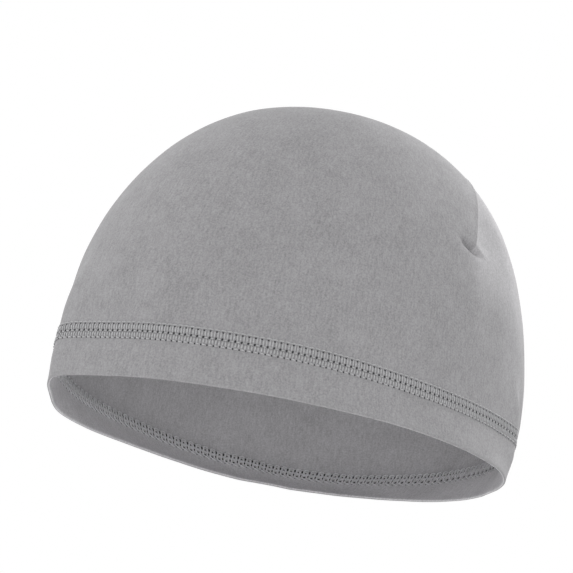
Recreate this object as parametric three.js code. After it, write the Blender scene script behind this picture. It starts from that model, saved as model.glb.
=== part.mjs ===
// Helmet liner cap: a close-fitting skull cap of thin stretch jersey with a folded hem, shown filled out.
// Millimetres. The front is -Y, the wearer's left is +X and the crown is +Z.
// Heights are measured up from the mean level of the rim. The whole cap is then lowered, so that the
// origin is the seat of the head: the highest point inside the crown.
import * as THREE from "three";
import { LoftGeometry } from "three/addons/geometries/LoftGeometry.js";

// Crown: an ellipse in plan, whose wall closes in above the shoulder on a full round curve.
const HALF_WIDTH = 90.7;
const HALF_LENGTH = 102;
const CROWN_HEIGHT = 144.6;
const CROWN_SET_BACK = 7.8; // how far the top lies behind the middle of the rim
const SHOULDER_HEIGHT = 20.4; // level where the wall begins to close in
const SHOULDER_POWER = 2.2; // the higher, the later the wall closes in
const CROWN_FULLNESS = 2.52; // the higher, the fuller the crown
const CROWN_WALL = 1.2;

// Hem: the jersey turned up once and stitched flat to the crown's edge.
const HEM_WALL = 2.2;
const HEM_DEPTH = 20.5; // from the upper needle row down to the rim
const SEAM_BELOW_NEEDLES = 2.8; // from the upper needle row down to the middle of the stitching
const CURL_ABOVE_NEEDLES = 9; // the crown starts to lean in with the hem this far above the needle row
const SEAM_GAP = 0.3;

// How the lower edge lies, in even steps all the way round, from the front by the wearer's left. The
// needle row is at needleHeight, and at the rim the cloth leans in by lean degrees: it stands straight
// over the brow, flares a little at the left, and curls in under the back of the head.
const LOWER_EDGE = [
  { azimuth: 0, needleHeight: 20.4, lean: -2 },
  { azimuth: 22.5, needleHeight: 18.8, lean: -1 },
  { azimuth: 45, needleHeight: 18.5, lean: -7 },
  { azimuth: 67.5, needleHeight: 18.7, lean: -18 },
  { azimuth: 90, needleHeight: 20.2, lean: -16 },
  { azimuth: 112.5, needleHeight: 23, lean: -3 },
  { azimuth: 135, needleHeight: 24.2, lean: 19 },
  { azimuth: 157.5, needleHeight: 23.9, lean: 37 },
  { azimuth: 180, needleHeight: 22, lean: 53 },
  { azimuth: 202.5, needleHeight: 19.4, lean: 64 },
  { azimuth: 225, needleHeight: 18, lean: 66 },
  { azimuth: 247.5, needleHeight: 18.4, lean: 61 },
  { azimuth: 270, needleHeight: 18.9, lean: 55 },
  { azimuth: 292.5, needleHeight: 19.4, lean: 42 },
  { azimuth: 315, needleHeight: 22.2, lean: 16 },
  { azimuth: 337.5, needleHeight: 24.6, lean: -4 },
];

// Dart: one seam from above the left ear, round the back of the crown, to above the right ear. Seen from
// above it is a parabola. The cloth behind it is drawn flat, and a short dent lies below each tip.
const DART_HALF_SPAN = 80.4;
const DART_REACH = 43; // how far the seam's middle lies behind its tips
const DART_TIP_HEIGHT = 84;
const DART_FADE = 16; // the flat panel reaches its full depth this far above the tip
const PANEL_WIDTH = 28;
const PANEL_DEPTH = 1.3;
const PANEL_DEPTH_AT_BACK = 0.4;
const DENT = { y: -3.5, height: 82.5, halfLength: 8, halfWidth: 3.6, depth: 2, fallDegrees: 10 };

// Folds that stand up from the hem, one row each: the ridge runs from its foot to its top, and the cloth
// behind it is drawn in by depth over the width.
const FOLDS = [
  { footAzimuth: 122, footHeight: 22, topAzimuth: 106, topHeight: 52, width: 20, depth: 1.3 },
  { footAzimuth: 236, footHeight: 20, topAzimuth: 250, topHeight: 50, width: 22, depth: 0.9 },
];

// Facets: columns round the cap, closer over the darts, and rows up the cloth.
const COLUMN_STEP = 6;
const FINE_COLUMN_STEP = 3;
const FINE_COLUMNS = [
  { from: 72, to: 126 },
  { from: 234, to: 288 },
];
const CROWN_ROWS = 17;
const CURL_ROWS = 3;
const HEM_ROWS = 4;
const FOLD_ARC_STEPS = 4;
const LEAN_STEPS = 12;

const { clamp, degToRad, lerp, smoothstep } = THREE.MathUtils;
const CURL_LENGTH = CURL_ABOVE_NEEDLES + HEM_DEPTH;
const SEAM_DROP = CURL_ABOVE_NEEDLES + SEAM_BELOW_NEEDLES;
const lowerEdge = new THREE.CatmullRomCurve3(
  LOWER_EDGE.map((row) => new THREE.Vector3(row.needleHeight, row.lean, 0)),
  true,
  "catmullrom",
);

// Azimuths are in degrees: 0 at the front, 90 at the wearer's left.
// The level where the cloth starts to curl, and the lean at the rim, at one azimuth.
function edgeAt(azimuth) {
  const turn = THREE.MathUtils.euclideanModulo(azimuth, 360) / 360;
  const row = lowerEdge.getPoint(turn);
  return { curlHeight: row.x + CURL_ABOVE_NEEDLES, lean: degToRad(row.y) };
}

// The crown's smooth outer surface at one azimuth and height.
function crownPoint(azimuth, height) {
  const angle = degToRad(azimuth);
  const radius = 1 / Math.hypot(Math.sin(angle) / HALF_WIDTH, Math.cos(angle) / HALF_LENGTH);
  const climb = clamp((height - SHOULDER_HEIGHT) / (CROWN_HEIGHT - SHOULDER_HEIGHT), 0, 1);
  const closing = (1 - climb ** SHOULDER_POWER) ** (1 / CROWN_FULLNESS);
  const setBack = CROWN_SET_BACK * (height / CROWN_HEIGHT) ** 2;
  return new THREE.Vector3(
    radius * closing * Math.sin(angle),
    setBack - radius * closing * Math.cos(angle),
    height,
  );
}

// The smooth outer surface of the cloth that hangs below the curl's start, drop millimetres down it.
function hangingPoint(azimuth, drop) {
  const edge = edgeAt(azimuth);
  const point = crownPoint(azimuth, edge.curlHeight);
  const inward = new THREE.Vector3(-Math.sin(degToRad(azimuth)), Math.cos(degToRad(azimuth)), 0);
  for (let step = 0; step < LEAN_STEPS; step++) {
    const share = (drop * (step + 0.5)) / LEAN_STEPS / CURL_LENGTH;
    const lean = edge.lean * Math.sin((Math.PI / 2) * share);
    point.addScaledVector(inward, (Math.sin(lean) * drop) / LEAN_STEPS);
    point.z -= (Math.cos(lean) * drop) / LEAN_STEPS;
  }
  return point;
}

// A place on the cloth is a share of the way from the curl up to the top, or a drop below the curl.
function clothPoint(azimuth, place) {
  if (place.drop !== undefined) return hangingPoint(azimuth, place.drop);
  const { curlHeight } = edgeAt(azimuth);
  const height = lerp(curlHeight, CROWN_HEIGHT, Math.sin((Math.PI / 2) * place.rise));
  return crownPoint(azimuth, height);
}

function clothNormal(azimuth, place) {
  if (place.rise === 1) return new THREE.Vector3(0, 0, 1);
  const turn = 0.5;
  const shift = place.drop === undefined ? { rise: 0.003 } : { drop: -0.2 };
  const key = Object.keys(shift)[0];
  const higher = clothPoint(azimuth, { [key]: place[key] + shift[key] });
  const lower = clothPoint(azimuth, { [key]: place[key] - shift[key] });
  const across = clothPoint(azimuth + turn, place).sub(clothPoint(azimuth - turn, place));
  return across.cross(higher.sub(lower)).normalize();
}

// A panel drawn flat behind a sharp ridge: nothing at the ridge, most in the middle, nothing beyond.
function drawnPanel(behind, width, depth) {
  const share = clamp(behind / width, 0, 1);
  return -4 * depth * share * (1 - share);
}

function dartRelief(point) {
  const seam = DART_REACH * (1 - (point.x / DART_HALF_SPAN) ** 2);
  const depth = lerp(PANEL_DEPTH_AT_BACK, PANEL_DEPTH, smoothstep(Math.abs(point.x), 20, 55));
  const fade = smoothstep(point.z, DART_TIP_HEIGHT - DART_FADE / 2, DART_TIP_HEIGHT + DART_FADE);
  return drawnPanel(point.y - seam, PANEL_WIDTH, depth) * fade;
}

function dentRelief(point) {
  const fall = degToRad(DENT.fallDegrees);
  const y = point.y - DENT.y;
  const z = point.z - DENT.height;
  const along = (y * Math.cos(fall) - z * Math.sin(fall)) / DENT.halfLength;
  const across = (y * Math.sin(fall) + z * Math.cos(fall)) / DENT.halfWidth;
  return -DENT.depth * Math.exp(-(along ** 2) - across ** 2);
}

function foldRelief(point, azimuth) {
  let relief = 0;
  for (const fold of FOLDS) {
    const climb = (point.z - fold.footHeight) / (fold.topHeight - fold.footHeight);
    const ridge = lerp(fold.footAzimuth, fold.topAzimuth, climb);
    const backward = Math.sign(fold.footAzimuth - fold.topAzimuth);
    const behind = degToRad(azimuth - ridge) * backward * Math.hypot(point.x, point.y);
    const fade = climb < 0 ? smoothstep(climb, -0.8, 0) : 1 - smoothstep(climb, 0.3, 1);
    relief += drawnPanel(behind, fold.width, fold.depth) * fade;
  }
  return relief;
}

function columnAzimuths() {
  const azimuths = [];
  for (let azimuth = 0; azimuth < 360; azimuth += FINE_COLUMN_STEP) {
    const fine = FINE_COLUMNS.some((band) => azimuth > band.from && azimuth < band.to);
    if (fine || azimuth % COLUMN_STEP === 0) azimuths.push(azimuth);
  }
  return azimuths;
}

// One ring of points round the cap, at one place on the cloth and one depth inside its outer face.
const azimuths = columnAzimuths();
function ring(place, depth) {
  return azimuths.map((azimuth) => {
    const point = clothPoint(azimuth, place);
    const relief = dartRelief(point) + dentRelief(point) + foldRelief(point, azimuth);
    return point.addScaledVector(clothNormal(azimuth, place), relief - depth);
  });
}

function spread(count, from, to) {
  return Array.from({ length: count }, (_, index) => lerp(from, to, index / (count - 1)));
}

function jersey(name) {
  const material = new THREE.MeshStandardMaterial({ color: 0x9c9b9e, roughness: 0.85, metalness: 0 });
  material.name = name;
  return material;
}

// Crown: down the inner face from the top to the seam, and back up the outer face to the top.
function crown() {
  const places = [
    ...spread(CROWN_ROWS, 1, 0).map((rise) => ({ rise })),
    ...spread(CURL_ROWS + 1, 0, SEAM_DROP - SEAM_GAP / 2)
      .slice(1)
      .map((drop) => ({ drop })),
  ];
  const rings = [
    ...places.map((place) => ring(place, CROWN_WALL)),
    ...places.reverse().map((place) => ring(place, 0)),
  ];
  const mesh = new THREE.Mesh(new LoftGeometry(rings), jersey("grey jersey"));
  mesh.name = "crown";
  return mesh;
}

// Hem band: down the inner face from the seam, round the fold at the rim, up the outer face, and across.
function hemBand() {
  const foldRadius = HEM_WALL / 2;
  const top = SEAM_DROP + SEAM_GAP / 2;
  const foldStart = CURL_LENGTH - foldRadius;
  const drops = spread(HEM_ROWS, top, foldStart);
  const arc = spread(FOLD_ARC_STEPS + 1, 0, Math.PI).slice(1, -1);
  const rings = [
    ...drops.map((drop) => ring({ drop }, HEM_WALL)),
    ...arc.map((turn) =>
      ring({ drop: foldStart + foldRadius * Math.sin(turn) }, foldRadius * (1 + Math.cos(turn))),
    ),
    ...drops.reverse().map((drop) => ring({ drop }, 0)),
  ];
  rings.push(rings[0]);
  const mesh = new THREE.Mesh(new LoftGeometry(rings), jersey("grey jersey, doubled"));
  mesh.name = "hem_band";
  return mesh;
}

const cap = new THREE.Group();
cap.add(crown(), hemBand());
cap.position.set(0, -CROWN_SET_BACK, CROWN_WALL - CROWN_HEIGHT);

export default cap;
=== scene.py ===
import math

import bmesh
import bpy
from mathutils import Matrix, Vector, noise


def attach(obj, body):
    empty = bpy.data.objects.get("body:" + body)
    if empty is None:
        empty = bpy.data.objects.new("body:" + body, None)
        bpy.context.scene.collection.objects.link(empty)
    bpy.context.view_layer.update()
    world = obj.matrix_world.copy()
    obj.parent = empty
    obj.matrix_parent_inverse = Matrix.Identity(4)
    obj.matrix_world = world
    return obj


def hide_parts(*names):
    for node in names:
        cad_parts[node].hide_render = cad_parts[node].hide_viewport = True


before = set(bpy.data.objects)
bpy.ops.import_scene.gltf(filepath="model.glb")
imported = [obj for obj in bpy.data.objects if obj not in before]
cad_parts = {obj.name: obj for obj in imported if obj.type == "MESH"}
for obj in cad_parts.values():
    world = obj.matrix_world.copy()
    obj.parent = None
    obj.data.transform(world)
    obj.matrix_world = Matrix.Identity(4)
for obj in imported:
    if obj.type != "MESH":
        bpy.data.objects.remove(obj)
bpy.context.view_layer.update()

# Crown: the cloth that covers the head, thin grey stretch jersey drawn tight over a full round form.
# One dart seam runs from above the left ear, round the back of the crown, to above the right ear. The
# cloth behind the seam is drawn flat, and a short dent lies below each of its ends.
half_width = 0.0907
half_length = 0.102
crown_height = 0.1446
crown_set_back = 0.0078
shoulder_height = 0.0204
shoulder_power = 2.2
crown_fullness = 2.52
seat_below_top = 0.0012
cloth_thickness = 0.0006

# The lower edge, one row for every sixteenth of the way round from the front by the wearer's left: the
# height of the upper needle row, and the degrees that the cloth leans in at the rim.
lower_edge = [
    (0.0204, -2),
    (0.0188, -1),
    (0.0185, -7),
    (0.0187, -18),
    (0.0202, -16),
    (0.0230, -3),
    (0.0242, 19),
    (0.0239, 37),
    (0.0220, 53),
    (0.0194, 64),
    (0.0180, 66),
    (0.0184, 61),
    (0.0189, 55),
    (0.0194, 42),
    (0.0215, 16),
    (0.0231, -4),
]
needle_heights, rim_leans = zip(*lower_edge)
curl_above_needles = 0.009
curl_length = 0.0295
seam_drop = 0.0118
seam_gap = 0.0003


def eased(value, start, end):
    """0 before start, 1 after end, and a smooth way from one to the other."""
    share = min(max((value - start) / (end - start), 0), 1)
    return share * share * (3 - 2 * share)


def closed_curve(values, turn):
    """A smooth closed curve through evenly spaced values, turn being the share of the way round."""
    place = turn * len(values)
    first = math.floor(place)
    share = place - first
    before, start, end, after = [values[(first + step) % len(values)] for step in (-1, 0, 1, 2)]
    leaving = (end - before) / 2
    arriving = (after - start) / 2
    square = 3 * (end - start) - 2 * leaving - arriving
    cube = 2 * (start - end) + leaving + arriving
    return start + share * (leaving + share * (square + share * cube))


def edge_at(azimuth):
    """The height where the cloth starts to curl, and its lean at the rim."""
    height = closed_curve(needle_heights, azimuth / 360) + curl_above_needles
    return height, math.radians(closed_curve(rim_leans, azimuth / 360))


def crown_point(azimuth, height):
    """The crown's smooth outer face, azimuth degrees round from the front by the wearer's left."""
    angle = math.radians(azimuth)
    radius = 1 / math.hypot(math.sin(angle) / half_width, math.cos(angle) / half_length)
    climb = (height - shoulder_height) / (crown_height - shoulder_height)
    climb = min(max(climb, 0), 1)
    reach = radius * (1 - climb**shoulder_power) ** (1 / crown_fullness)
    set_back = crown_set_back * (height / crown_height) ** 2
    return Vector((reach * math.sin(angle), set_back - reach * math.cos(angle), height))


def rising_point(azimuth, rise):
    """The smooth cloth above the curl, rise being the share of the way up to the top."""
    curl_height, _ = edge_at(azimuth)
    share = math.sin(math.pi / 2 * rise)
    return crown_point(azimuth, curl_height + (crown_height - curl_height) * share)


def hanging_point(azimuth, drop):
    """The smooth cloth below the curl's start, which leans in more and more towards the rim."""
    curl_height, lean = edge_at(azimuth)
    point = crown_point(azimuth, curl_height)
    angle = math.radians(azimuth)
    steps = 6
    inward = 0
    down = 0
    for step in range(steps):
        share = drop * (step + 0.5) / steps / curl_length
        tilt = lean * math.sin(math.pi / 2 * share)
        inward += math.sin(tilt) * drop / steps
        down += math.cos(tilt) * drop / steps
    return point + Vector((-math.sin(angle) * inward, math.cos(angle) * inward, -down))


def outward(point_at, azimuth, place, step):
    """The cloth's outward direction, from four points close around the place."""
    higher = point_at(azimuth, place + step)
    lower = point_at(azimuth, place - step)
    across = point_at(azimuth + 0.5, place) - point_at(azimuth - 0.5, place)
    return across.cross(higher - lower).normalized()


dart_half_span = 0.0804
dart_reach = 0.043
dart_tip_height = 0.084
panel_width = 0.030
panel_width_at_top = 0.008
panel_narrows = (0.090, 0.112)  # between these heights
panel_turn = 0.38  # the slope with which it leaves the seam, at the sides and at the back
panel_turn_at_back = 0.12
panel_sides = (0.020, 0.055)  # how far from the middle the back ends and the sides start
panel_flattens = (0.094, 0.110)
panel_flattening = 0.85
slack_depth = 0.0012
slack_starts = 0.050  # height
seam_ridge_height = 0.00028
seam_ridge_front = 0.0013
seam_ridge_back = 0.0006


def behind_seam(point):
    """How far a point lies behind the dart seam, which is a parabola seen from above."""
    return point.y - dart_reach * (1 - (point.x / dart_half_span) ** 2)


def dart_relief(point):
    """The panel drawn flat behind the dart seam, from which it turns away sharply, the low ridge over the
    seam's turned-in edges, and the softer flatness below the seam's end."""
    behind = behind_seam(point)
    seam_fade = eased(point.z, dart_tip_height - 0.001, dart_tip_height + 0.006)
    narrowing = eased(point.z, *panel_narrows)
    panel = panel_width + (panel_width_at_top - panel_width) * narrowing
    turn = panel_turn_at_back + (panel_turn - panel_turn_at_back) * eased(abs(point.x), *panel_sides)
    turn *= 1 - panel_flattening * eased(point.z, *panel_flattens)
    share = min(max(behind / panel, 0), 1)
    drawn = turn * panel * share * (1 - share) ** 2
    share = min(max(behind / panel_width, 0), 1)
    slack = 16 * slack_depth * (share * (1 - share)) ** 2 * eased(point.z, slack_starts, dart_tip_height)
    width = seam_ridge_front if behind < 0 else seam_ridge_back
    ridge = seam_ridge_height * math.exp(-((behind / width) ** 2))
    return (ridge - drawn) * seam_fade - slack * (1 - seam_fade)


# Painted light: the cloth behind the dart seam is painted up to a quarter lighter, for the light that falls
# on it from behind the cap: how far behind the seam this starts, above the seam's end and below it, how far
# behind it ends, how far from the middle it starts, and from what height.
painted_light_starts = (-0.0001, 0.0007)
painted_light_starts_below = (-0.004, 0.008)
painted_light_ends = (0.030, 0.060)
painted_light_sides = (0.030, 0.050)
painted_light_lowest = 0.055
painted_light_gain = 0.25


def panel_painted_light(point):
    """How much light is painted onto the cloth behind the dart seam, from 0 to 1."""
    behind = behind_seam(point)
    if point.z > dart_tip_height:
        started = eased(behind, *painted_light_starts)
    else:
        started = eased(behind, *painted_light_starts_below)
    ended = eased(behind, *painted_light_ends)
    at_sides = eased(abs(point.x), *painted_light_sides)
    return started * (1 - ended) * at_sides * eased(point.z, painted_light_lowest, dart_tip_height)


dent_y = -0.0033
dent_height = 0.0840
dent_half_length = 0.0051
dent_half_width_above = 0.0012
dent_half_width_below = 0.0021
dent_depth = 0.0037
hollow_half_length = 0.009
hollow_half_width = 0.0055
hollow_depth = 0.0005
dent_fall = math.radians(10)


def dent_relief(point):
    """The short dent below the dart's end, lower at the back and alike on both sides, and the shallow
    hollow round it."""
    y = point.y - dent_y
    z = point.z - dent_height
    along = y * math.cos(dent_fall) - z * math.sin(dent_fall)
    across = y * math.sin(dent_fall) + z * math.cos(dent_fall)
    spread = dent_half_width_above if across > 0 else dent_half_width_below
    dent = math.exp(-((along / dent_half_length) ** 2) - (across / spread) ** 2)
    hollow = math.exp(-((along / hollow_half_length) ** 2) - (across / hollow_half_width) ** 2)
    return -dent_depth * dent - hollow_depth * hollow


# Folds that stand up from the hem: foot azimuth and height, top azimuth and height, width, depth.
hem_folds = [
    (122, 0.022, 106, 0.052, 0.020, 0.0013),
    (236, 0.020, 250, 0.050, 0.022, 0.0009),
]


def fold_relief(point, azimuth):
    """How far the cloth behind each fold is drawn in, which makes the fold stand up."""
    relief = 0
    for foot, foot_height, top, top_height, width, depth in hem_folds:
        climb = (point.z - foot_height) / (top_height - foot_height)
        ridge = foot + (top - foot) * climb
        backward = math.copysign(1, foot - top)
        behind = math.radians(azimuth - ridge) * backward * math.hypot(point.x, point.y)
        fade = eased(climb, -0.8, 0) if climb < 0 else 1 - eased(climb, 0.3, 1)
        share = min(max(behind / width, 0), 1)
        relief -= 4 * depth * share * (1 - share) * fade
    return relief


# The lower edge is drawn out to soft corners at the front right and behind the left ear, and lies
# flatter beside the first: azimuth, degrees that each reaches before and after it, softness, how far it
# stands out, the share of that at the rim, and the heights between which it fades.
edge_corners = [
    (340, 15, 20, 0.08, 0.0030, 0.45, 0.030, 0.062),
    (325, 16, 14, 0.45, -0.0014, 0.65, 0.036, 0.066),
    (313, 13, 12, 0.25, 0.0003, 1.00, 0.008, 0.020),
    (116, 14, 11, 0.10, 0.0019, 0.00, 0.028, 0.050),
]


def corner_relief(point, azimuth):
    """How far the corners draw the cloth out, or in where it lies flatter."""
    relief = 0
    for corner, before, after, softness, height, rim_share, fade_start, fade_end in edge_corners:
        away = (azimuth - corner + 180) % 360 - 180
        reach = math.hypot(away / (before if away < 0 else after), softness)
        peak = (max(1 - reach, 0) / (1 - softness)) ** 2
        fade = 1 - eased(point.z, fade_start, fade_end)
        near_rim = rim_share + (1 - rim_share) * eased(point.z, 0.003, 0.014)
        relief += height * peak * fade * near_rim
    return relief


def slack_relief(point):
    """Faint, broad unevenness of cloth that lies over a head, without any fold."""
    broad = noise.noise(point * 28 + Vector((3, 1, 7)))
    small = noise.noise(point * 75 + Vector((5, 9, 2)))
    return 0.0004 * broad + 0.00012 * small


def on_cloth(azimuth, place, height=0.0):
    """A point height metres outside the cloth's outer face. Place is the share of the way up from the
    curl's start to the top, or minus the metres down from the curl's start."""
    if place > 0.9999:
        point = crown_point(azimuth, crown_height)
        normal = Vector((0, 0, 1))
    elif place >= 0:
        point = rising_point(azimuth, place)
        normal = outward(rising_point, azimuth, place, 0.003)
    else:
        point = hanging_point(azimuth, -place)
        normal = outward(hanging_point, azimuth, -place, -0.0002)
    relief = dart_relief(point) + dent_relief(point) + slack_relief(point)
    relief += fold_relief(point, azimuth) + corner_relief(point, azimuth)
    return point + normal * (relief + height)


def lowered(cloth):
    """Moves finished cloth from heights above the rim to the frame, whose origin is the head's seat."""
    seat = Vector((0, -crown_set_back, seat_below_top - crown_height))
    bmesh.ops.translate(cloth, verts=cloth.verts, vec=seat)


def finished_piece(name, cloth, material):
    """Makes a bmesh a named piece with smooth faces, at the origin, riding on the cap's one body."""
    mesh = bpy.data.meshes.new(name)
    cloth.to_mesh(mesh)
    cloth.free()
    mesh.shade_smooth()
    mesh.materials.append(material)
    piece = bpy.data.objects.new(name, mesh)
    bpy.context.scene.collection.objects.link(piece)
    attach(piece, "root")
    return piece


dark_yarn = (0.268, 0.264, 0.271)
light_yarn = (0.432, 0.426, 0.438)


def jersey_material(name, wales, courses, painted_lightness=1.0):
    """Fine knitted jersey: its wales and courses follow the piece's UV map. The yarn is a little uneven,
    so the tone is finely broken up, and streaked along the wales. Light is painted in: the tone is made
    lighter behind the dart seam, and the last argument scales it, 1 for the outer face and more for the
    inner faces, which are painted lighter for the light that reaches inside the cap."""
    material = bpy.data.materials.new(name)
    material.use_nodes = True
    nodes = material.node_tree.nodes
    links = material.node_tree.links
    cloth = nodes["Principled BSDF"]
    cloth.inputs["Roughness"].default_value = 0.92
    cloth.inputs["Specular IOR Level"].default_value = 0.2
    cloth.inputs["Sheen Weight"].default_value = 0.05
    cloth.inputs["Sheen Roughness"].default_value = 0.6
    coordinates = nodes.new("ShaderNodeTexCoord")

    def noise_at(vector, scale, detail):
        texture = nodes.new("ShaderNodeTexNoise")
        texture.inputs["Scale"].default_value = scale
        texture.inputs["Detail"].default_value = detail
        texture.inputs["Roughness"].default_value = 0.6
        links.new(vector, texture.inputs["Vector"])
        return texture.outputs["Fac"]

    def laid_out(across, up):
        mapping = nodes.new("ShaderNodeMapping")
        mapping.inputs["Scale"].default_value = (across, up, 1)
        links.new(coordinates.outputs["UV"], mapping.inputs["Vector"])
        return mapping.outputs["Vector"]

    def mixed(one, other, share):
        mix = nodes.new("ShaderNodeMix")
        mix.inputs["Factor"].default_value = share
        links.new(one, mix.inputs["A"])
        links.new(other, mix.inputs["B"])
        return mix.outputs["Result"]

    yarn = noise_at(coordinates.outputs["Object"], 1500, 2)
    streaks = noise_at(laid_out(wales, courses / 6), 1, 1)
    patches = noise_at(coordinates.outputs["Object"], 90, 3)
    unevenness = mixed(mixed(yarn, streaks, 0.3), patches, 0.2)
    tone = nodes.new("ShaderNodeValToRGB")
    tone.color_ramp.elements[0].position = 0.34
    tone.color_ramp.elements[0].color = [part * painted_lightness for part in dark_yarn] + [1]
    tone.color_ramp.elements[1].position = 0.66
    tone.color_ramp.elements[1].color = [part * painted_lightness for part in light_yarn] + [1]
    links.new(unevenness, tone.inputs["Fac"])
    # Painted light: the tone is made up to a quarter lighter behind the dart seam, by the attribute the
    # crown carries.
    painted_light_attribute = nodes.new("ShaderNodeAttribute")
    painted_light_attribute.attribute_name = "panel_painted_light"
    painted_light_factor = nodes.new("ShaderNodeMath")
    painted_light_factor.operation = "MULTIPLY_ADD"
    painted_light_factor.inputs[1].default_value = painted_light_gain
    painted_light_factor.inputs[2].default_value = 1
    links.new(painted_light_attribute.outputs["Fac"], painted_light_factor.inputs[0])
    painted_light_tone = nodes.new("ShaderNodeVectorMath")
    painted_light_tone.operation = "SCALE"
    links.new(tone.outputs["Color"], painted_light_tone.inputs[0])
    links.new(painted_light_factor.outputs["Value"], painted_light_tone.inputs["Scale"])
    links.new(painted_light_tone.outputs["Vector"], cloth.inputs["Base Color"])

    loops = nodes.new("ShaderNodeTexVoronoi")
    loops.feature = "SMOOTH_F1"
    loops.inputs["Scale"].default_value = 1
    loops.inputs["Randomness"].default_value = 0.35
    links.new(laid_out(wales, courses), loops.inputs["Vector"])
    grain = nodes.new("ShaderNodeMath")
    grain.operation = "SUBTRACT"
    links.new(yarn, grain.inputs[0])
    links.new(loops.outputs["Distance"], grain.inputs[1])
    bump = nodes.new("ShaderNodeBump")
    bump.inputs["Strength"].default_value = 0.35
    bump.inputs["Distance"].default_value = 0.0001
    links.new(grain.outputs["Value"], bump.inputs["Height"])
    links.new(bump.outputs["Normal"], cloth.inputs["Normal"])
    return material


def jersey_grid(columns, rows):
    """A flat grid, one unit each way, to be laid round the cap: x is the turn and y the way up."""
    cloth = bmesh.new()
    bmesh.ops.create_grid(cloth, x_segments=columns, y_segments=rows, size=0.5)
    bmesh.ops.translate(cloth, verts=cloth.verts, vec=(0.5, 0.5, 0))
    return cloth


def mark_uv(cloth):
    """Keeps the flat grid as the cloth's UV map, so that the knit follows the surface."""
    layer = cloth.loops.layers.uv.new("knit")
    for face in cloth.faces:
        for loop in face.loops:
            loop[layer].uv = loop.vert.co.xy


crown_columns = 240
crown_rows = 96
curl_share = 0.066  # of the crown's way up, the part below the curl's start
fine_margins = (0.005, 0.0027, 0.001)  # each zone round the seam and the dents is divided once more
dent_zone_length = 4.4  # times the margin
dent_zone_height = 3.3


def crown_place(share):
    """From the share of the way up from the seam to a place on the cloth."""
    if share < curl_share:
        return -(seam_drop - seam_gap / 2) * (1 - share / curl_share)
    return (share - curl_share) / (1 - curl_share)


def near_seam(share_round, share_up, margin):
    """Whether a place on the flat grid lies near the dart seam or a dent, where the cloth needs finer
    faces. Margin is the distance from the seam, and the zone round a dent grows with it."""
    place = crown_place(share_up)
    if place < 0:
        return False
    point = rising_point(360 * share_round, place)
    by_seam = point.z > dart_tip_height - 0.006 and abs(behind_seam(point)) < margin
    by_dent = abs(point.y - dent_y) < dent_zone_length * margin
    by_dent = by_dent and abs(point.z - dent_height) < dent_zone_height * margin
    return by_seam or by_dent


crown_cloth = jersey_grid(crown_columns, crown_rows)
for margin in fine_margins:
    close = []
    for face in crown_cloth.faces:
        middle = face.calc_center_median()
        if near_seam(middle.x, middle.y, margin):
            close.append(face)
    edges = list({edge for face in close for edge in face.edges})
    bmesh.ops.subdivide_edges(crown_cloth, edges=edges, cuts=1, use_grid_fill=True)
mark_uv(crown_cloth)
# Painted light: each point of the crown keeps how much lighter it is painted behind the dart seam.
painted_light_layer = crown_cloth.verts.layers.float.new("panel_painted_light")
for vert in crown_cloth.verts:
    azimuth = 360 * vert.co.x
    place = crown_place(min(vert.co.y, 1))
    vert[painted_light_layer] = panel_painted_light(rising_point(azimuth, max(place, 0)))
    vert.co = on_cloth(azimuth, place)
bmesh.ops.remove_doubles(crown_cloth, verts=crown_cloth.verts, dist=0.000002)
bmesh.ops.recalc_face_normals(crown_cloth, faces=crown_cloth.faces)
lowered(crown_cloth)
wales_round = 640
crown_courses = 250
# Painted light: the crown's inner face is made half again as light as its outer face, for the light that
# reaches inside the cap.
inner_face_painted_light = 1.5
outer_face = jersey_material("grey jersey", wales_round, crown_courses)
inner_face = jersey_material("grey jersey, inner face, painted lighter", wales_round, crown_courses, inner_face_painted_light)
crown = finished_piece("crown_jersey", crown_cloth, outer_face)
crown.data.materials.append(inner_face)
thickness = crown.modifiers.new("wall", "SOLIDIFY")
thickness.thickness = cloth_thickness
thickness.offset = -1
thickness.material_offset = 1
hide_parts("crown")

# Hem band: the jersey turned up once at the rim, so that it lies double, with a soft rounded fold at
# the rim. Its outer edge meets the crown's edge, and its inner edge lies inside the crown, under the
# covering stitch that holds them.
layer_wall = 0.0005
layer_gap = 0.0001
inner_edge_drop = 0.0074
hem_columns = 360
hem_rows = 36
fold_radius = (layer_wall + layer_gap) / 2
fold_drop = curl_length - fold_radius - layer_wall / 2
outer_edge_drop = seam_drop + seam_gap / 2
outer_side = fold_drop - outer_edge_drop
inner_side = fold_drop - inner_edge_drop
hem_round = outer_side + math.pi * fold_radius + inner_side


def hem_way(row_share):
    """From the share of the rows to the share of the cloth's length, a fifth of the rows lying in the
    fold at the rim."""
    fold_start = outer_side / hem_round
    fold_end = 1 - inner_side / hem_round
    if row_share < 0.4:
        return row_share / 0.4 * fold_start
    if row_share < 0.6:
        return fold_start + (row_share - 0.4) / 0.2 * (fold_end - fold_start)
    return fold_end + (row_share - 0.6) / 0.4 * (1 - fold_end)


def hem_section(share):
    """From the outer edge (0) down, round the fold and up inside (1): the drop and the depth."""
    way = share * hem_round
    if way < outer_side:
        return outer_edge_drop + way, layer_wall / 2
    if way > outer_side + math.pi * fold_radius:
        return inner_edge_drop + hem_round - way, layer_wall / 2 + 2 * fold_radius
    turn = (way - outer_side) / fold_radius
    return fold_drop + fold_radius * math.sin(turn), layer_wall / 2 + fold_radius * (1 - math.cos(turn))


hem_cloth = jersey_grid(hem_columns, hem_rows)
for face in hem_cloth.faces:
    face.material_index = int(face.calc_center_median().y > 0.5)
for vert in hem_cloth.verts:
    vert.co.y = hem_way(vert.co.y)
mark_uv(hem_cloth)
for vert in hem_cloth.verts:
    drop, depth = hem_section(vert.co.y)
    vert.co = on_cloth(360 * vert.co.x, -drop, -depth)
bmesh.ops.remove_doubles(hem_cloth, verts=hem_cloth.verts, dist=0.000002)
lowered(hem_cloth)
hem_courses = 56
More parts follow.
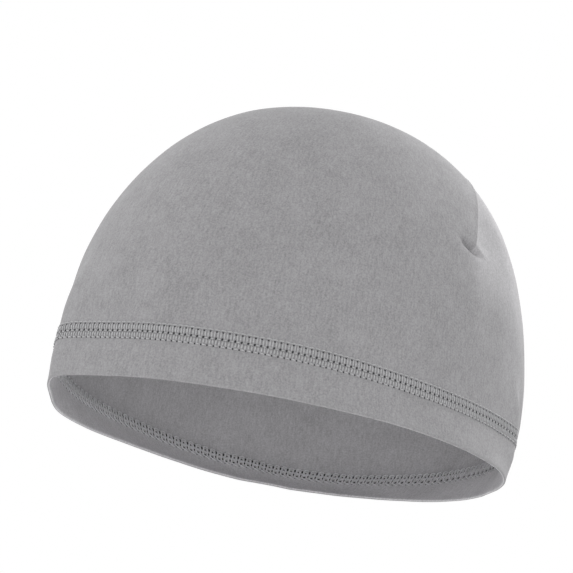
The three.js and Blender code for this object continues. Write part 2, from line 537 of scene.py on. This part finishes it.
# Painted light: the hem's inside is made nearly twice as light as its outside, for the light that reaches
# it inside the cap.
hem_inside_painted_light = 1.9
hem_outside = jersey_material("grey jersey, doubled", wales_round, hem_courses)
hem_inside = jersey_material("grey jersey, hem inside, painted lighter", wales_round, hem_courses, hem_inside_painted_light)
hem = finished_piece("hem_band_jersey", hem_cloth, hem_outside)
hem.data.materials.append(hem_inside)
thickness = hem.modifiers.new("wall", "SOLIDIFY")
thickness.thickness = layer_wall
thickness.offset = 0
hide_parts("hem_band")

# Covering stitch: soft grey thread over the seam, outside. Three needle rows lie 2.8 mm apart, with
# thread rungs between them, short dashes on the middle and lower rows, and small needle holes, drawn as
# dark ovals of painted shade. The jersey is drawn tighter at the back, so the stitches lie further
# apart there.
stitch_count = 196
stitch_pitch = 0.0025

# How far every fourteenth stitch lies from its even place, in degrees, from the front by the left.
stitch_shifts = [
    -0.7, -8.3, -14.8, -21.9, -27.5, -32.8, -31.7,
    -27.8, -24.1, -22.9, -20.0, -11.9, -4.6, 2.5,
]


def stitch_azimuth(turn):
    """The azimuth of a stitch, turn being its share of the way round."""
    return 360 * turn + closed_curve(stitch_shifts, turn)


def lay_thread(pattern, path, width, thickness):
    """Adds one length of thread to a flat pattern: a four-sided tube through the path, with closed ends."""
    sides = 4
    end_size = 0.35
    made = bmesh.ops.create_grid(pattern, x_segments=len(path) - 1, y_segments=sides, size=0.5)
    points = [Vector(point) for point in path]
    for vert in made["verts"]:
        step = round((vert.co.x + 0.5) * (len(path) - 1))
        angle = math.tau * (vert.co.y + 0.5)
        ahead = points[min(step + 1, len(points) - 1)]
        back = points[max(step - 1, 0)]
        along = (ahead - back).normalized()
        side = Vector((-along.y, along.x, 0)).normalized()
        size = end_size if step in (0, len(points) - 1) else 1
        rise = Vector((0, 0, 1))
        turned = side * math.cos(angle) * width / 2 + rise * math.sin(angle) * thickness / 2
        vert.co = points[step] + turned * size
    bmesh.ops.remove_doubles(pattern, verts=made["verts"], dist=0.000002)
    open_edges = [edge for edge in pattern.edges if edge.is_boundary]
    bmesh.ops.holes_fill(pattern, edges=open_edges, sides=sides)


shade_mark_height = 0.00004


def lay_shade_mark(pattern, s, drop, length, width, lean):
    """Adds one mark of painted shade to a flat pattern: a small dark oval just above the cloth, at a needle
    hole or a gap between threads.
    """
    made = bmesh.ops.create_circle(pattern, cap_ends=True, segments=8, radius=1)
    for vert in made["verts"]:
        x = vert.co.x * length / 2
        y = vert.co.y * width / 2
        vert.co.x = s + x * math.cos(lean) - y * math.sin(lean)
        vert.co.y = drop + x * math.sin(lean) + y * math.cos(lean)
        vert.co.z = shade_mark_height
        for face in vert.link_faces:
            face.material_index = 1


def repeat_round(pattern, inside):
    """Repeats a flat pattern all round the seam and bends every copy onto the cloth's face."""
    one_stitch = bpy.data.meshes.new("one_stitch")
    bmesh.ops.recalc_face_normals(pattern, faces=pattern.faces)
    pattern.to_mesh(one_stitch)
    pattern.free()
    row = bmesh.new()
    done = 0
    for stitch in range(stitch_count):
        row.from_mesh(one_stitch)
        row.verts.ensure_lookup_table()
        for vert in row.verts[done:]:
            s, drop, height = vert.co
            azimuth = stitch_azimuth((stitch + s / stitch_pitch) / stitch_count)
            if inside:
                vert.co = on_cloth(azimuth, -drop, -2 * layer_wall - layer_gap - height)
            else:
                vert.co = on_cloth(azimuth, -drop, height)
        done = len(row.verts)
    bpy.data.meshes.remove(one_stitch)
    if not inside:
        bmesh.ops.reverse_faces(row, faces=row.faces)
    lowered(row)
    return row


def thread_material(name, grey):
    """Soft textured thread: many fine fibres along it, so its tone and surface are finely broken up."""
    material = bpy.data.materials.new(name)
    material.use_nodes = True
    nodes = material.node_tree.nodes
    links = material.node_tree.links
    thread = nodes["Principled BSDF"]
    thread.inputs["Roughness"].default_value = 0.8
    thread.inputs["Sheen Weight"].default_value = 0.2
    coordinates = nodes.new("ShaderNodeTexCoord")
    fibres = nodes.new("ShaderNodeTexNoise")
    fibres.inputs["Scale"].default_value = 2600
    fibres.inputs["Detail"].default_value = 3
    links.new(coordinates.outputs["Object"], fibres.inputs["Vector"])
    tone = nodes.new("ShaderNodeValToRGB")
    tone.color_ramp.elements[0].position = 0.3
    tone.color_ramp.elements[0].color = (grey * 0.82, grey * 0.82, grey * 0.84, 1)
    tone.color_ramp.elements[1].position = 0.7
    tone.color_ramp.elements[1].color = (grey * 1.12, grey * 1.12, grey * 1.14, 1)
    links.new(fibres.outputs["Fac"], tone.inputs["Fac"])
    links.new(tone.outputs["Color"], thread.inputs["Base Color"])
    bump = nodes.new("ShaderNodeBump")
    bump.inputs["Strength"].default_value = 0.5
    bump.inputs["Distance"].default_value = 0.0001
    links.new(fibres.outputs["Fac"], bump.inputs["Height"])
    links.new(bump.outputs["Normal"], thread.inputs["Normal"])
    return material


def painted_shade_material():
    """Painted shade for needle holes and the gaps between threads: near black, finely uneven."""
    material = bpy.data.materials.new("painted needle hole shade")
    material.use_nodes = True
    nodes = material.node_tree.nodes
    links = material.node_tree.links
    shade = nodes["Principled BSDF"]
    shade.inputs["Roughness"].default_value = 1
    shade.inputs["Specular IOR Level"].default_value = 0
    coordinates = nodes.new("ShaderNodeTexCoord")
    uneven_shade = nodes.new("ShaderNodeTexNoise")
    uneven_shade.inputs["Scale"].default_value = 1500
    links.new(coordinates.outputs["Object"], uneven_shade.inputs["Vector"])
    tone = nodes.new("ShaderNodeValToRGB")
    tone.color_ramp.elements[0].color = (0.03, 0.03, 0.032, 1)
    tone.color_ramp.elements[1].color = (0.11, 0.11, 0.115, 1)
    links.new(uneven_shade.outputs["Fac"], tone.inputs["Fac"])
    links.new(tone.outputs["Color"], shade.inputs["Base Color"])
    return material


def lay_stitch(pattern, threads, shade_marks):
    """Lays one stitch of a flat pattern. A thread is its width, its thickness and its path, a path's
    point being a share of the stitch along, the drop, and how far it stands off the cloth. A shade mark,
    the painted shade of a needle hole or of a gap between threads, is its share of the stitch along, its
    drop, length, width and lean. Sizes are in millimetres, and the lean is in radians."""
    for width, thickness_mm, path in threads:
        points = [(s * stitch_pitch, drop / 1000, height / 1000) for s, drop, height in path]
        lay_thread(pattern, points, width / 1000, thickness_mm / 1000)
    for s, drop, length, width, lean in shade_marks:
        lay_shade_mark(pattern, s * stitch_pitch, drop / 1000, length / 1000, width / 1000, lean)


soft_thread = thread_material("grey thread", 0.54)
painted_hole_shade = painted_shade_material()

outer_pattern = bmesh.new()
outer_threads = [
    # the thread that lies along above the upper needle row
    (0.42, 0.4, [(-0.5, 8.5, 0.15), (-0.25, 8.38, 0.28), (0, 8.3, 0.3), (0.25, 8.38, 0.28),
                 (0.5, 8.5, 0.15)]),
    # rungs between the upper and the middle needle row
    (0.76, 0.34, [(0.24, 8.75, 0), (0.26, 9.6, 0.28), (0.3, 10.6, 0.3), (0.33, 11.4, 0)]),
    (0.76, 0.34, [(0.7, 8.75, 0), (0.73, 9.6, 0.28), (0.76, 10.6, 0.3), (0.78, 11.4, 0)]),
    # needle thread's dash on the middle row
    (0.6, 0.24, [(0.2, 11.72, 0), (0.36, 11.72, 0.1), (0.68, 11.78, 0.1), (0.86, 11.78, 0)]),
    # rungs between the middle and the lower needle row
    (0.72, 0.34, [(0.2, 11.95, 0), (0.2, 12.7, 0.28), (0.18, 13.5, 0.3), (0.16, 14.2, 0)]),
    (0.72, 0.34, [(0.6, 12.1, 0), (0.66, 12.8, 0.28), (0.68, 13.5, 0.3), (0.68, 14.2, 0)]),
    # needle thread's dash on the lower row
    (0.55, 0.45, [(0, 14.4, 0.05), (0.18, 14.5, 0.36), (0.5, 14.55, 0.36), (0.74, 14.65, 0.05)]),
]
# Painted shade: dark ovals where the three needle holes are.
outer_shade_marks = [
    (0, 9.05, 0.9, 0.6, 0),
    (0.03, 11.6, 0.85, 1.05, 0.4),
    (-0.13, 14.55, 0.65, 0.8, 0),
]
lay_stitch(outer_pattern, outer_threads, outer_shade_marks)
outer_stitch = finished_piece("covering_stitch", repeat_round(outer_pattern, inside=False), soft_thread)
outer_stitch.data.materials.append(painted_hole_shade)

# Looper stitch: the same seam's inside, where the looper thread lies in rows of plump round loops over
# the raw edges, with small dark ovals of painted shade in the holes between them and in the gaps inside the
# loops.
inner_pattern = bmesh.new()
inner_threads = [
    # the loop's top, its rounded side and its foot
    (0.5, 0.5, [(0.1, 8.3, 0.1), (0.3, 7.85, 0.34), (0.6, 7.9, 0.34), (0.77, 8.5, 0.34),
                (0.75, 9.9, 0.34), (0.82, 11.6, 0.34), (0.86, 12.9, 0.36), (0.72, 14.1, 0.36),
                (0.4, 14.8, 0.34), (-0.02, 15.4, 0.1)]),
    # its straight side
    (0.44, 0.46, [(0.16, 8.1, 0.1), (0.16, 9.8, 0.34), (0.22, 11.6, 0.34), (0.16, 13.4, 0.1)]),
    # the thread across its middle
    (0.44, 0.5, [(0.18, 11.5, 0.1), (0.46, 11.3, 0.38), (0.8, 11.2, 0.1)]),
]
# Painted shade: dark ovals at the needle holes and in the gaps inside each loop.
inner_shade_marks = [
    (-0.04, 9.2, 0.8, 1.8, 0),
    (0.03, 12, 0.6, 1.6, 0),
    (0.48, 9.7, 0.5, 1, 0),
    (0.52, 12.9, 0.8, 1.2, 0),
    (-0.28, 14.7, 0.5, 0.6, 0),
]
lay_stitch(inner_pattern, inner_threads, inner_shade_marks)
# Painted light: the looper thread is made about half again as light as the needle thread outside, for light
# that does not reach inside the cap.
painted_lighter_looper_thread = thread_material("grey looper thread, painted lighter", 0.8)
inner_stitch = finished_piece("looper_stitch", repeat_round(inner_pattern, inside=True), painted_lighter_looper_thread)
inner_stitch.data.materials.append(painted_hole_shade)

# Studio: a pale floor well below the cap, which is held up as on a head, a white surround, and six
# soft lamps: overhead, low in front of the opening, at both sides, behind the cap and at its right rear.
floor_level = -0.95
floor = bmesh.new()
bmesh.ops.create_circle(floor, cap_ends=True, segments=96, radius=6)
bmesh.ops.translate(floor, verts=floor.verts, vec=(0, 0, floor_level))
floor_mesh = bpy.data.meshes.new("floor")
floor.to_mesh(floor_mesh)
floor.free()
floor_paint = bpy.data.materials.new("pale floor")
floor_paint.use_nodes = True
matt_paint = floor_paint.node_tree.nodes["Principled BSDF"]
matt_paint.inputs["Base Color"].default_value = (0.8, 0.8, 0.8, 1)
matt_paint.inputs["Roughness"].default_value = 0.9
floor_mesh.materials.append(floor_paint)
floor_piece = bpy.data.objects.new("floor", floor_mesh)
bpy.context.scene.collection.objects.link(floor_piece)

surround = bpy.data.worlds.new("white surround")
bpy.context.scene.world = surround
surround.use_nodes = True
sky_nodes = surround.node_tree.nodes
sky_links = surround.node_tree.links
soft_white = sky_nodes["Background"]
soft_white.inputs["Color"].default_value = (1, 1, 1, 1)
soft_white.inputs["Strength"].default_value = 0.37
seen_white = sky_nodes.new("ShaderNodeBackground")
seen_white.inputs["Color"].default_value = (1, 1, 1, 1)
seen_white.inputs["Strength"].default_value = 1
seen_directly = sky_nodes.new("ShaderNodeLightPath")
either = sky_nodes.new("ShaderNodeMixShader")
sky_links.new(seen_directly.outputs["Is Camera Ray"], either.inputs[0])
sky_links.new(soft_white.outputs[0], either.inputs[1])
sky_links.new(seen_white.outputs[0], either.inputs[2])
sky_links.new(either.outputs[0], sky_nodes["World Output"].inputs[0])

cap_middle = Vector((0, -0.008, -0.07))
lamp_distance = 1.2


def soft_lamp(name, azimuth, elevation, size, watts):
    """A square soft lamp, aimed at the cap and not itself seen."""
    a = math.radians(azimuth)
    e = math.radians(elevation)
    back = Vector((math.sin(a) * math.cos(e), -math.cos(a) * math.cos(e), math.sin(e)))
    lamp = bpy.data.lights.new(name, "AREA")
    lamp.size = size
    lamp.energy = watts
    holder = bpy.data.objects.new(name, lamp)
    holder.location = cap_middle + back * lamp_distance
    holder.rotation_mode = "QUATERNION"
    holder.rotation_quaternion = back.to_track_quat("Z", "Y")
    holder.visible_camera = False
    bpy.context.scene.collection.objects.link(holder)


soft_lamp("overhead soft lamp", 40, 88, 0.8, 6.5)
soft_lamp("low front soft lamp", 40, -13, 0.5, 5)
soft_lamp("right soft lamp", 305, 5, 0.8, 6)
soft_lamp("left soft lamp", 122, 5, 0.8, 2.2)
soft_lamp("rear soft lamp", 178, 32, 0.8, 14)
soft_lamp("right rear soft lamp", 258, 25, 0.8, 4.5)

# Camera: a little below the rim, in front of the cap and to the wearer's left, turned about its axis.
# Its place, turn and focal length were fitted to the photo, and a fixed point of the cap is seen where
# the photo shows it.
camera_azimuth = math.radians(40)
camera_elevation = math.radians(-17.525)
camera_distance = 0.91966
camera_roll = math.radians(10.56)
photo_width = 573
focal_pixels = 2250.1
seen_point = Vector((0, -0.0078, -0.0834))
seen_at = Vector((301.756, 317.858))

flat_distance = camera_distance * math.cos(camera_elevation)
camera_back = Vector((
    math.sin(camera_azimuth) * math.cos(camera_elevation),
    -math.cos(camera_azimuth) * math.cos(camera_elevation),
    math.sin(camera_elevation),
))
camera_place = seen_point + camera_back * camera_distance
fitted_turn = camera_back.to_track_quat("Z", "Y").to_matrix().to_4x4()
fitted_turn = fitted_turn @ Matrix.Rotation(camera_roll, 4, "Z")
off_x = (photo_width / 2 - seen_at.x) / focal_pixels
off_y = (seen_at.y - photo_width / 2) / focal_pixels
look = fitted_turn @ Vector((off_x, off_y, -1))
side = fitted_turn @ Vector((1, 0, 0))
back = -look.normalized()
up = back.cross(side).normalized()
side = up.cross(back)
camera_data = bpy.data.cameras.new("camera")
camera_data.sensor_width = 36
camera_data.lens = focal_pixels / photo_width * camera_data.sensor_width
camera = bpy.data.objects.new("camera", camera_data)
camera.matrix_world = Matrix.Translation(camera_place) @ Matrix((side, up, back)).transposed().to_4x4()
bpy.context.scene.collection.objects.link(camera)
bpy.context.scene.camera = camera
bpy.context.scene.view_settings.view_transform = "Standard"
